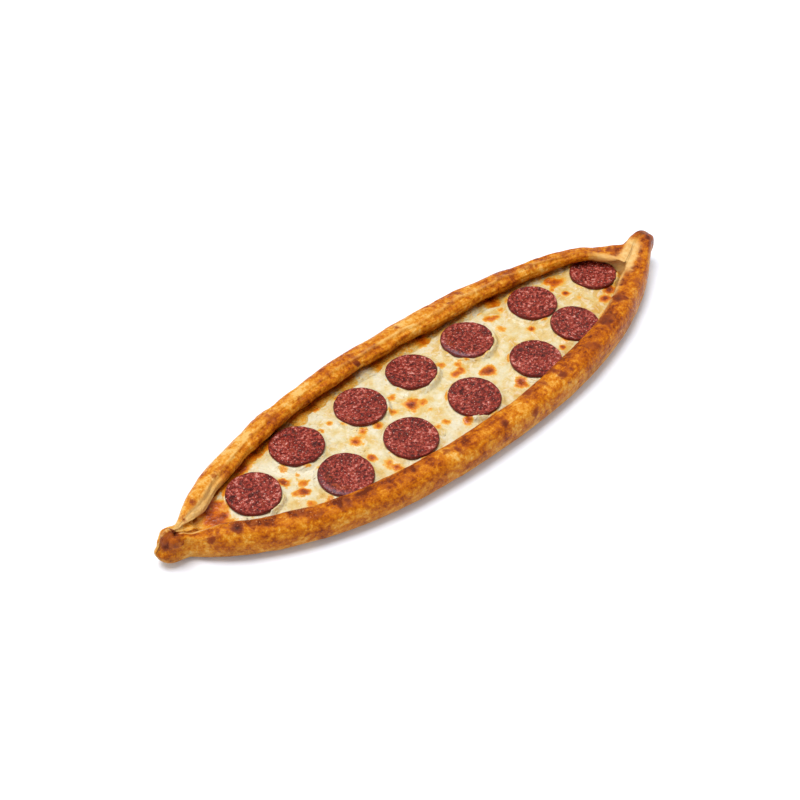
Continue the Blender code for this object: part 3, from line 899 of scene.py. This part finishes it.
def bakedDough():  # wheat dough brushed with egg and baked: a thin glossy skin over a matt, warm crumb
    material, tree = newMaterial("egg-washed baked dough")
    place = add(tree, "ShaderNodeTexCoord", None, "Object")
    flow = add(tree, "ShaderNodeAttribute", None, "Vector", attribute_name="flow")
    glazed, toastAndPaintedLight, spots, pale, specks = (
        add(tree, "ShaderNodeAttribute", None, "Fac", attribute_name=label)
        for label in ("glazed", "toastAndPaintedLight", "spots", "pale", "specks")
    )
    cloudy, mottled, fine = mottling(tree, place, doughLook["patches"])
    stretch = add(tree, "ShaderNodeMapping", {"Vector": flow, "Scale": doughLook["streaks"]}, "Vector")
    pulled = {"Vector": stretch, "Scale": 1.0, "Detail": 4.0, "Roughness": 0.6}
    streaks = add(tree, "ShaderNodeTexNoise", pulled, "Fac")
    level = pushed(tree, toastAndPaintedLight, ((cloudy, 1.00), (mottled, 1.35), (fine, 0.60), (streaks, 0.50)))
    egg = add(tree, "ShaderNodeValToRGB", {"Fac": level}, "Color", doughLook["egg"])
    bare = add(tree, "ShaderNodeValToRGB", {"Fac": level}, "Color", doughLook["bare"])
    cream = add(tree, "ShaderNodeValToRGB", {"Fac": mottled}, "Color", doughLook["cream"])
    colour = laidOver(tree, bare, egg, glazed)
    colour = laidOver(tree, colour, cream, pale, (level, 1.2, 0.45))
    # the darkest browning; on the knob it also carries the painted shade in the cleft and the painted highlight on the
    # lumps
    dark = pushed(tree, spots, ((mottled, 0.55), (fine, 0.35)))
    burnt = add(tree, "ShaderNodeValToRGB", {"Fac": dark}, "Color", doughLook["burnt"])
    colour = laidOver(tree, colour, burnt, 1.0, (dark, 0.10, 0.62))
    distance, number = flecks(tree, place, doughLook["speckSpacing"], "Red")
    thinned = add(tree, "ShaderNodeMath", {0: specks, 1: doughLook["speckStrength"]}, 0, operation="MULTIPLY")
    speck = linear(doughLook["speck"])
    colour = laidOver(tree, colour, speck, thinned, (distance, 0.30, 0.12), (number, 0.70, 0.80))
    matt, eggGloss = doughLook["roughness"]
    rough = add(tree, "ShaderNodeMath", {0: glazed, 1: eggGloss, 2: matt}, 0, operation="MULTIPLY_ADD")
    rough = pushed(tree, rough, ((fine, 0.25),))
    relief = pushed(tree, mottled, ((fine, 0.55), (streaks, 0.8)))
    raised = {"Height": relief, "Strength": 0.9, "Distance": doughLook["relief"]}
    look = {
        "Base Color": colour,
        "Roughness": rough,
        "Normal": add(tree, "ShaderNodeBump", raised, "Normal"),
        "IOR": 1.45,
        "Specular IOR Level": doughLook["gloss"],
    }
    return closeMaterial(material, look)


cheeseLook = {
    "melt": ((0.38, "#DAD0B2"), (0.52, "#D7C698"), (0.66, "#D3B470"), (0.80, "#CC9F4A")),
    "browned": (
        (0.00, "#E2CC8C"),
        (0.22, "#DFB04C"),
        (0.42, "#D6841A"),
        (0.62, "#BE5C08"),
        (0.80, "#903A06"),
        (1.00, "#581E06"),
    ),
    "paleStrand": "#E4DCC8",
    "darkStrand": "#C6B478",
    "fleck": "#BC9438",
    "fleckSpacing": 3.6,  # mm
    "strandWidth": 7.5,  # mm
    "patches": ((8, 3, 0.55), (2.2, 4, 0.65), (0.9, 3, 0.6)),
    "yellowing": 0.13,
    "relief": 0.0011,
    "gloss": 0.40,
}


def meltedCheese():  # melted and browned kashar-style cheese: pale, oily, slightly see-through
    material, tree = newMaterial("melted toasted cheese")
    place = add(tree, "ShaderNodeTexCoord", None, "Object")
    toastAndPaintedLight = add(tree, "ShaderNodeAttribute", None, "Fac", attribute_name="toastAndPaintedLight")
    yellow = add(tree, "ShaderNodeAttribute", None, "Fac", attribute_name="yellow")
    cloudy, mottled, fine = mottling(tree, place, cheeseLook["patches"])
    curls = {"Vector": place, "Scale": 1000 / cheeseLook["strandWidth"], "Detail": 2.5, "Roughness": 0.5}
    strands = add(tree, "ShaderNodeTexNoise", {**curls, "Distortion": 2.2}, "Fac")
    cloudy = add(tree, "ShaderNodeMath", {0: cloudy, 1: 0.02}, 0, operation="SUBTRACT")
    yellowed = {0: yellow, 1: cheeseLook["yellowing"], 2: cloudy}
    cloudy = add(tree, "ShaderNodeMath", yellowed, 0, operation="MULTIPLY_ADD")
    colour = add(tree, "ShaderNodeValToRGB", {"Fac": cloudy}, "Color", cheeseLook["melt"])
    colour = laidOver(tree, colour, linear(cheeseLook["paleStrand"]), 0.45, (strands, 0.52, 0.66))
    colour = laidOver(tree, colour, linear(cheeseLook["darkStrand"]), 0.25, (strands, 0.45, 0.34))
    # the browned ramp also carries the painted shade along the back wall and in the left corner of the melt
    level = pushed(tree, toastAndPaintedLight, ((mottled, 0.60), (fine, 0.30)))
    browned = add(tree, "ShaderNodeValToRGB", {"Fac": level}, "Color", cheeseLook["browned"])
    colour = laidOver(tree, colour, browned, 1.0, (level, 0.10, 0.30))
    distance, number = flecks(tree, place, cheeseLook["fleckSpacing"], "Green")
    fleck = linear(cheeseLook["fleck"])
    colour = laidOver(tree, colour, fleck, 0.50, (distance, 0.34, 0.10), (number, 0.66, 0.80))
    relief = pushed(tree, 0.0, ((mottled, 0.40), (fine, 0.10), (strands, 0.9)))
    raised = {"Height": relief, "Strength": 0.8, "Distance": cheeseLook["relief"]}
    look = {
        "Base Color": colour,
        "Roughness": pushed(tree, 0.26, ((mottled, 0.3),)),
        "Normal": add(tree, "ShaderNodeBump", raised, "Normal"),
        "IOR": 1.45,
        "Specular IOR Level": cheeseLook["gloss"],
        "Subsurface Weight": 0.15,
        "Subsurface Radius": (1.0, 0.75, 0.4),
        "Subsurface Scale": 0.0014,
    }
    return closeMaterial(material, look)


sausageLook = {
    "meat": ((0.37, "#340402"), (0.45, "#5E1008"), (0.53, "#882416"), (0.60, "#B04A3A"), (0.70, "#DCA498")),
    "vein": "#BC705E",
    "tint": "#8E3413",
    "browned": "#A04A12",
    # grey band on two slices' near edges: partly dried crisp, partly painted sheen
    "crispAndSheen": "#7D6672",
    "casing": "#651812",
    "casingStrength": 0.80,
    "marbling": 2.4,  # mm
    "patches": ((8, 3, 0.5), (2.1, 4, 0.72), (0.8, 2, 0.6), (3.4, 2, 0.5)),
    "relief": 0.0007,
    "gloss": 0.24,
}


def curedSausage():  # cured, sliced and baked beef sausage: dark red meat, pale fat, an oily cut face
    material, tree = newMaterial("baked cured sausage")
    place = add(tree, "ShaderNodeTexCoord", None, "Object")
    casing, crispAndSheen, browned = (
        add(tree, "ShaderNodeAttribute", None, "Fac", attribute_name=label) for label in ("casing", "crispAndSheen", "browned")
    )
    cloudy, minced, fine, tinted = mottling(tree, place, sausageLook["patches"])
    twisted = {"Vector": place, "Scale": 1000 / sausageLook["marbling"], "Detail": 3.0, "Roughness": 0.6}
    marbled = add(tree, "ShaderNodeTexNoise", {**twisted, "Distortion": 3.0}, "Fac")
    level = pushed(tree, minced, ((cloudy, 0.30),))
    colour = add(tree, "ShaderNodeValToRGB", {"Fac": level}, "Color", sausageLook["meat"])
    casingShown = {0: casing, 1: sausageLook["casingStrength"]}
    layers = (
        ("vein", 0.40, (marbled, 0.555, 0.62), (fine, 0.35, 0.55)),
        ("tint", 0.45, (tinted, 0.58, 0.70)),
        ("browned", browned, (minced, 0.35, 0.6)),
        ("crispAndSheen", crispAndSheen, (fine, 0.3, 0.6)),
        ("casing", add(tree, "ShaderNodeMath", casingShown, 0, operation="MULTIPLY")),
    )
    for label, strength, *masks in layers:
        colour = laidOver(tree, colour, linear(sausageLook[label]), strength, *masks)
    relief = pushed(tree, minced, ((fine, 0.5), (marbled, 0.6)))
    raised = {"Height": relief, "Strength": 0.9, "Distance": sausageLook["relief"]}
    look = {
        "Base Color": colour,
        "Roughness": pushed(tree, 0.32, ((fine, 0.35),)),
        "Normal": add(tree, "ShaderNodeBump", raised, "Normal"),
        "IOR": 1.46,
        "Specular IOR Level": sausageLook["gloss"],
    }
    return closeMaterial(material, look)


def mottledGrain(name, look):  # for pieces too small to need any relief
    material, tree = newMaterial(name)
    place = add(tree, "ShaderNodeTexCoord", None, "Object")
    patches = mottling(tree, place, look["patches"])[0]
    colour = add(tree, "ShaderNodeValToRGB", {"Fac": patches}, "Color", look["colours"])
    values = {"Base Color": colour, "Roughness": look["roughness"], "IOR": look["ior"]}
    return closeMaterial(material, values)


# pale fat grains: real fat, and partly painted glints on the slices' oily cut faces
fatAndGlintLook = {
    "patches": ((1.2, 3, 0.55),),
    "colours": ((0.3, "#A35D4F"), (0.5, "#C99183"), (0.7, "#E2BBAE")),
    "roughness": 0.30,
    "ior": 1.46,
}


def renderedFatAndGlints():  # beef fat melted out of the meat: small, pink and shiny, and pale enough to stand partly for painted glints on the cut face
    return mottledGrain("rendered fat and glints", fatAndGlintLook)


crumbLook = {
    "patches": ((1.5, 3, 0.55),),
    "colours": ((0.3, "#7A2F14"), (0.5, "#B4602A"), (0.75, "#D89A5C")),
    "roughness": 0.50,
    "ior": 1.45,
}


def crispCrumb():  # flour and cheese crumbs that caught in the oven: brown and matt
    return mottledGrain("toasted crumb", crumbLook)


def scatter(name, emitter, sizes, material):  # grains strewn over a skin where its attribute says
    tree = bpy.data.node_groups.new(name, "GeometryNodeTree")
    tree.interface.new_socket(name="Geometry", in_out="INPUT", socket_type="NodeSocketGeometry")
    tree.interface.new_socket(name="Geometry", in_out="OUTPUT", socket_type="NodeSocketGeometry")
    sockets = {}
    for label in ("spacing", "density", "smallest", "largest", "flatness", "length", "sink"):
        sockets[label] = tree.interface.new_socket(name=label, in_out="INPUT", socket_type="NodeSocketFloat")
    given = tree.nodes.new("NodeGroupInput").outputs
    where = add(tree, "GeometryNodeInputNamedAttribute", {"Name": sizes["where"]}, data_type="FLOAT")
    points = add(
        tree,
        "GeometryNodeDistributePointsOnFaces",
        {
            "Mesh": given["Geometry"],
            "Distance Min": given["spacing"],
            "Density Max": given["density"],
            "Density Factor": where.outputs["Attribute"],
            "Seed": sizes["seed"],
        },
        distribute_method="POISSON",
    )
    grain = add(tree, "GeometryNodeMeshIcoSphere", {"Radius": 1.0, "Subdivisions": sizes["roundness"]})
    shape = add(tree, "ShaderNodeCombineXYZ", {0: given["length"], 1: 1.0, 2: given["flatness"]})
    drawn = {"Geometry": grain.outputs["Mesh"], "Scale": shape.outputs[0]}
    shaped = add(tree, "GeometryNodeTransform", drawn)
    lying = {"Max": (0.35, 0.35, 2 * pi), "Seed": 3}  # nearly flat, and turned any way
    spin = add(tree, "FunctionNodeRandomValue", lying, data_type="FLOAT_VECTOR")
    turned = add(tree, "FunctionNodeEulerToRotation", {0: spin.outputs[0]})
    rotation = add(
        tree,
        "FunctionNodeRotateRotation",
        {"Rotation": points.outputs["Rotation"], "Rotate By": turned.outputs[0]},
        rotation_space="LOCAL",
    )
    size = add(tree, "FunctionNodeRandomValue", {"Seed": 5}, data_type="FLOAT")
    tree.links.new(given["smallest"], size.inputs[2])
    tree.links.new(given["largest"], size.inputs[3])
    placed = add(
        tree,
        "GeometryNodeInstanceOnPoints",
        {
            "Points": points.outputs["Points"],
            "Instance": shaped.outputs["Geometry"],
            "Rotation": rotation.outputs[0],
            "Scale": size.outputs[1],
        },
    )
    real = add(tree, "GeometryNodeRealizeInstances", {"Geometry": placed.outputs["Instances"]})
    position = add(tree, "GeometryNodeInputPosition").outputs[0]
    dentWidth = 0.9  # mm
    rough = add(tree, "ShaderNodeTexNoise", {"Vector": position, "Scale": 1000 / dentWidth, "Detail": 1.0})
    fromMiddle = {0: rough.outputs["Color"], 1: (0.5, 0.5, 0.5)}
    offset = add(tree, "ShaderNodeVectorMath", fromMiddle, operation="SUBTRACT")
    scaled = add(tree, "ShaderNodeVectorMath", {0: offset.outputs[0]}, operation="SCALE")
    tree.links.new(given["smallest"], scaled.inputs["Scale"])
    lowered = add(tree, "ShaderNodeCombineXYZ", {2: given["sink"]})
    moved = add(tree, "ShaderNodeVectorMath", {0: scaled.outputs[0], 1: lowered.outputs[0]}, operation="ADD")
    uneven = add(tree, "GeometryNodeSetPosition", {"Geometry": real.outputs[0], "Offset": moved.outputs[0]})
    smooth = add(tree, "GeometryNodeSetShadeSmooth", {0: uneven.outputs[0]})
    finished = add(tree, "GeometryNodeSetMaterial", {"Geometry": smooth.outputs[0], "Material": material})
    add(tree, "NodeGroupOutput", {"Geometry": finished.outputs[0]})
    modifier = emitter.modifiers.new(name, "NODES")
    modifier.node_group = tree
    for label, socket in sockets.items():
        modifier[socket.identifier] = sizes[label]
    evaluated = emitter.evaluated_get(bpy.context.evaluated_depsgraph_get())
    mesh = bpy.data.meshes.new_from_object(evaluated)
    emitter.modifiers.remove(modifier)
    mesh.name = name
    piece = bpy.data.objects.new(name, mesh)
    bpy.context.scene.collection.objects.link(piece)
    print(name, "made:", len(mesh.polygons), "faces")
    return piece


dough, melt, meat = bakedDough(), meltedCheese(), curedSausage()
crustPiece = makeCrust(dough)
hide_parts("crust")
cheesePiece = makeCheese(melt)
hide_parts("cheese")
slicePieces = [makeSlice(index, meat) for index in range(len(sliceList))]
print("slices made:", len(slicePieces))

fatAndGlintGrains = {
    "where": "face",
    "seed": 21,
    "roundness": 1,
    "spacing": 0.0017,
    "density": 200000.0,
    "smallest": 0.00014,
    "largest": 0.00042,
    "flatness": 0.45,
    "length": 1.5,
    "sink": -0.00004,
}
points, faces, places = [], [], []
for skinPoints, skinFaces, skinPlaces in sliceSkins:
    start = sum(len(p) for p in points)
    points.append(skinPoints)
    places.append(skinPlaces)
    faces += [tuple(start + corner for corner in face) for face in skinFaces]
emitter = meshPiece("grainPlaces", np.concatenate(points), faces, {"face": np.concatenate(places)}, meat)
fatAndGlintPiece = scatter("sausageFatAndGlintGrains", emitter, fatAndGlintGrains, renderedFatAndGlints())
bpy.data.objects.remove(emitter)
crumbPlaces = {
    "where": "crumbs",
    "seed": 4,
    "roundness": 1,
    "spacing": 0.0006,
    "density": 1200000.0,
    "smallest": 0.00014,
    "largest": 0.00042,
    "flatness": 0.5,
    "length": 1.6,
    "sink": 0.00002,
}
crumbPiece = scatter("toastedCrumbs", crustPiece, crumbPlaces, crispCrumb())
shreds = {
    "where": "shredded",
    "seed": 9,
    "roundness": 2,
    "spacing": 0.0026,
    "density": 60000.0,
    "smallest": 0.00035,
    "largest": 0.00065,
    "flatness": 0.50,
    "length": 4.6,
    "sink": -0.00020,
}
shredPiece = scatter("cheeseShreds", cheesePiece, shreds, melt)

bits = {
    "where": "crumbly",
    "seed": 12,
    "roundness": 2,
    "spacing": 0.0011,
    "density": 260000.0,
    "smallest": 0.00018,
    "largest": 0.00042,
    "flatness": 0.55,
    "length": 1.35,
    "sink": -0.00006,
}
bitPiece = scatter("cheeseBits", cheesePiece, bits, melt)

pieces = [crustPiece, cheesePiece, *slicePieces, fatAndGlintPiece, crumbPiece, shredPiece, bitPiece]
for piece in pieces:
    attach(piece, "root")

# Floor, light and camera
table = {"size": 6.0, "colour": "#E8EDF6", "glow": 0.06}  # lit from all round, so it shows white
bpy.ops.mesh.primitive_plane_add(size=table["size"])
floor = bpy.context.active_object
floor.name = "whiteTable"
paper = newMaterial("white paper table")[0]
glow = {"Base Color": linear(table["colour"]), "Roughness": 0.9, "Emission Color": (1, 1, 1, 1)}
closeMaterial(paper, {**glow, "Emission Strength": table["glow"]})
floor.data.materials.append(paper)

light = {"world": 0.57, "sun": 2.7, "softness": 34.0, "towards": (-0.13, 0.15, 0.98)}
world = bpy.data.worlds.new("white room")
bpy.context.scene.world = world
world.use_nodes = True
world.node_tree.nodes["Background"].inputs["Color"].default_value = (1, 1, 1, 1)
world.node_tree.nodes["Background"].inputs["Strength"].default_value = light["world"]
sun = bpy.data.objects.new("window", bpy.data.lights.new("window", "SUN"))
sun.data.energy = light["sun"]
sun.data.angle = radians(light["softness"])
sun.rotation_euler = Vector(light["towards"]).to_track_quat("Z", "Y").to_euler()
bpy.context.scene.collection.objects.link(sun)

camera = {
    "azimuth": -42.95,
    "elevation": 43.57,
    "distance": 0.9592,
    "target": (-0.02335, 0.0082, 0.0120),
    "lens": 70.29,
}
eye = bpy.data.objects.new("camera", bpy.data.cameras.new("camera"))
turn, rise = radians(camera["azimuth"]), radians(camera["elevation"])
back = Vector((np.sin(turn) * np.cos(rise), -np.cos(turn) * np.cos(rise), np.sin(rise)))
eye.location = Vector(camera["target"]) + back * camera["distance"]
eye.rotation_euler = back.to_track_quat("Z", "Y").to_euler()
eye.data.lens = camera["lens"]
eye.data.sensor_width = 36
bpy.context.scene.collection.objects.link(eye)
bpy.context.scene.camera = eye
bpy.context.scene.view_settings.view_transform = "Standard"
print("floor, light and camera made")
